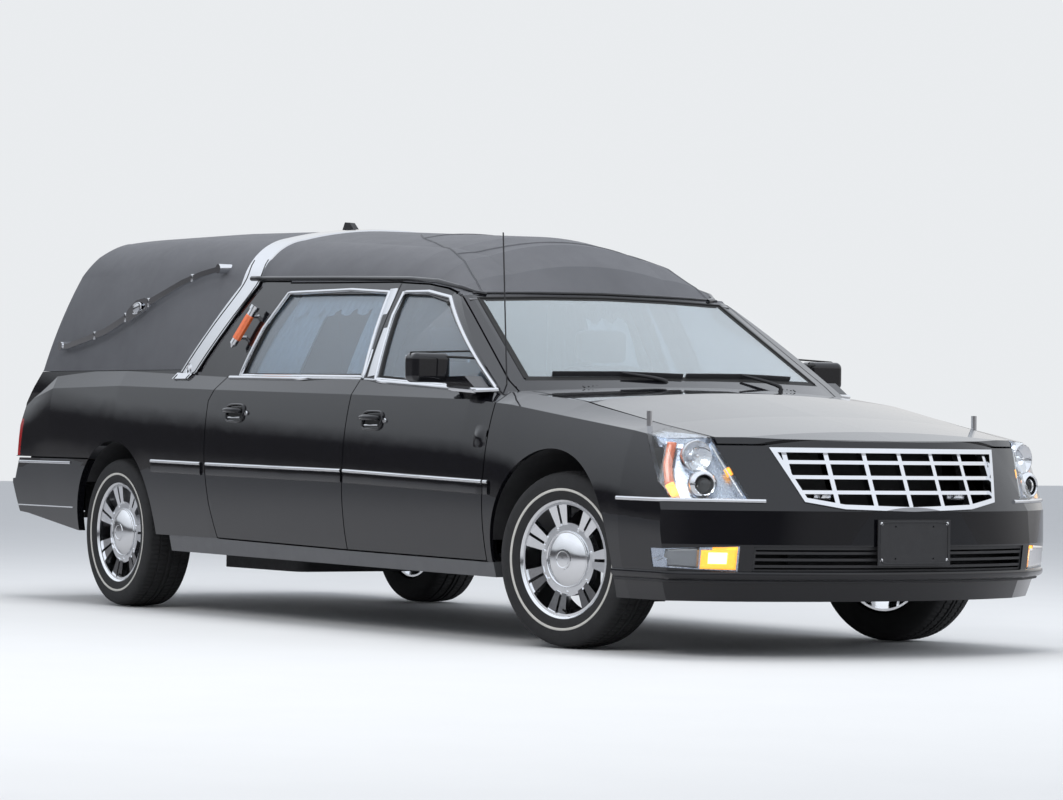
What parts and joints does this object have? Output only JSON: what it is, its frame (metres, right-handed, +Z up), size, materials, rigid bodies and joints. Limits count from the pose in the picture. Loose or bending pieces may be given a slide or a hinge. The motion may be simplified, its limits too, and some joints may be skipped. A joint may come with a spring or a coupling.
{
  "type": "hearse",
  "caption": "Long four-door hearse with raised vinyl roof, landau bars, side-hinged back door, hood, steered front wheels and a rollered casket deck.",
  "frame": {"origin": "on the ground under the middle of the vehicle's length and width", "axes": "+X forward, +Y to the vehicle's left, +Z up"},
  "size_m": [6.1334, 2.145, 1.8093],
  "materials": {
    "black_paint": "gloss black",
    "vinyl": "grained vinyl",
    "chrome": "polished",
    "wheel_chrome": "polished",
    "rubber": "matt",
    "tinted_glass": "tinted",
    "lens": "clear",
    "lamp_body": "reflective",
    "lamp_red": "clear red",
    "sill_grey": "satin grey",
    "black_plastic": "satin",
    "seat": "soft leather",
    "deck": "laminate with chrome rollers",
    "underbody": "matt black"
  },
  "bodies": {
    "body": {"antenna": "black_plastic", "casket_deck": "deck", "coach_lamps": "chrome", "cowl": "black_paint", "dashboard": "black_plastic", "door_posts": "underbody", "engine_block": "underbody", "fender_left": "black_paint", "fender_right": "black_paint", "flag_holders": "chrome", "floor_pan": "underbody", "fog_lamps": "lamp_body", "front_bumper": "black_paint", "front_seats": "seat", "front_subframe": "underbody", "fuel_tank": "underbody", "grille": "chrome", "headlamp_lenses": "lens", "headlamps": "lamp_body", "landau_bars": "chrome", "lower_grille": "black_plastic", "opera_panels": "black_paint", "plate_bracket": "black_plastic", "quarter_left": "black_paint", "quarter_right": "black_paint", "radiator": "underbody", "rear_axle": "underbody", "rear_bumper": "black_paint", "roof": "vinyl", "roof_band": "chrome", "roof_fin": "black_plastic", "screen_frame": "black_paint", "sills": "sill_grey", "tail_lamps": "lamp_red", "wheel_liners": "underbody", "windscreen": "tinted_glass"},
    "front_door_right": {"front_door_right": "black_paint", "front_door_glass_right": "tinted_glass"},
    "rear_door_right": {"rear_door_right": "black_paint", "rear_door_glass_right": "tinted_glass"},
    "knuckle_right": {"knuckle_right": "underbody"},
    "front_wheel_right": {"front_tyre_right": "rubber", "front_rim_right": "wheel_chrome"},
    "rear_wheel_right": {"rear_tyre_right": "rubber", "rear_rim_right": "wheel_chrome"},
    "front_door_left": {"front_door_left": "black_paint", "front_door_glass_left": "tinted_glass"},
    "rear_door_left": {"rear_door_left": "black_paint", "rear_door_glass_left": "tinted_glass"},
    "knuckle_left": {"knuckle_left": "underbody"},
    "front_wheel_left": {"front_tyre_left": "rubber", "front_rim_left": "wheel_chrome"},
    "rear_wheel_left": {"rear_tyre_left": "rubber", "rear_rim_left": "wheel_chrome"},
    "back_door": {"back_door": "black_paint", "back_glass": "tinted_glass"},
    "hood": {"hood": "black_paint"},
    "steering_wheel": {"steering_wheel": "black_plastic"}
  },
  "joints": [
    {"name": "front_door_right_hinge", "type": "hinge", "parent": "body", "child": "front_door_right", "pos_m": [1.42, -0.915, 0.645], "axis": [0, 0, 1], "range_deg": [0, 60]},
    {"name": "front_door_left_hinge", "type": "hinge", "parent": "body", "child": "front_door_left", "pos_m": [1.42, 0.915, 0.645], "axis": [0, 0, -1], "range_deg": [0, 60]},
    {"name": "rear_door_right_hinge", "type": "hinge", "parent": "body", "child": "rear_door_right", "pos_m": [0.303, -0.92, 0.645], "axis": [0, 0, 1], "range_deg": [0, 60]},
    {"name": "rear_door_left_hinge", "type": "hinge", "parent": "body", "child": "rear_door_left", "pos_m": [0.303, 0.92, 0.645], "axis": [0, 0, -1], "range_deg": [0, 60]},
    {"name": "back_door_hinge", "type": "hinge", "parent": "body", "child": "back_door", "pos_m": [-3.022, 0.572, 0.8], "axis": [0, 0, -1], "range_deg": [0, 80]},
    {"name": "hood_hinge", "type": "hinge", "parent": "body", "child": "hood", "pos_m": [1.5, 0, 0.99], "axis": [0, -1, 0], "range_deg": [0, 45]},
    {"name": "steer_right", "type": "hinge", "parent": "body", "child": "knuckle_right", "pos_m": [1.95, -0.718, 0.347], "axis": [0, 0, 1], "range_deg": [-48.9, 21.1]},
    {"name": "steer_left", "type": "hinge", "parent": "body", "child": "knuckle_left", "pos_m": [1.95, 0.718, 0.347], "axis": [0, 0, 1], "range_deg": [-48.9, 21.1]},
    {"name": "steering_wheel_turn", "type": "hinge", "parent": "body", "child": "steering_wheel", "pos_m": [1.08, 0.38, 0.925], "axis": [-0.9, 0, 0.436], "range_deg": [-740, 320]},
    {"name": "front_wheel_right_spin", "type": "hinge", "parent": "knuckle_right", "child": "front_wheel_right", "pos_m": [1.9667, -0.78546, 0.347], "axis": [-0.2402, 0.9707, 0], "continuous": true},
    {"name": "rear_wheel_right_spin", "type": "hinge", "parent": "body", "child": "rear_wheel_right", "pos_m": [-1.85, -0.791, 0.347], "axis": [0, 1, 0], "continuous": true},
    {"name": "front_wheel_left_spin", "type": "hinge", "parent": "knuckle_left", "child": "front_wheel_left", "pos_m": [1.9333, 0.78546, 0.347], "axis": [-0.2402, 0.9707, 0], "continuous": true},
    {"name": "rear_wheel_left_spin", "type": "hinge", "parent": "body", "child": "rear_wheel_left", "pos_m": [-1.85, 0.791, 0.347], "axis": [0, 1, 0], "continuous": true}
  ],
  "couplings": [
    {"joint": "steer_left", "follows": "steer_right", "ratio": 1},
    {"joint": "steering_wheel_turn", "follows": "steer_right", "ratio": 15}
  ]
}
